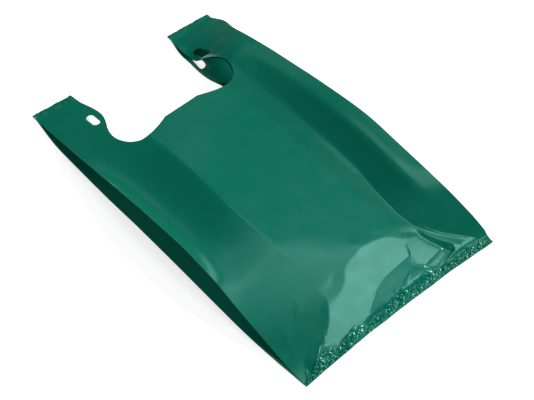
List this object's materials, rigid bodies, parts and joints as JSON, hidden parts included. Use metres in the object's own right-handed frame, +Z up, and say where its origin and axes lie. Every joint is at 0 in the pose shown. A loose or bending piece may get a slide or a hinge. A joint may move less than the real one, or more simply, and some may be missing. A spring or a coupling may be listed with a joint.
{
  "type": "plastic carrier bag",
  "caption": "Thin green plastic vest bag lying on its back, with half-open side folds, a die-cut mouth, welded handles and a crinkled bottom weld.",
  "frame": {"origin": "centre of the footprint, on the surface the back of the bag lies on", "axes": "+Y from the bottom weld to the handle tops, +Z up from the back film to the front film, +X across the bag"},
  "size_m": [0.3152, 0.5568, 0.0508],
  "materials": {
    "green_film": "smooth glossy film, opaque green"
  },
  "bodies": {
    "root": {"bag": "green_film"}
  },
  "joints": []
}
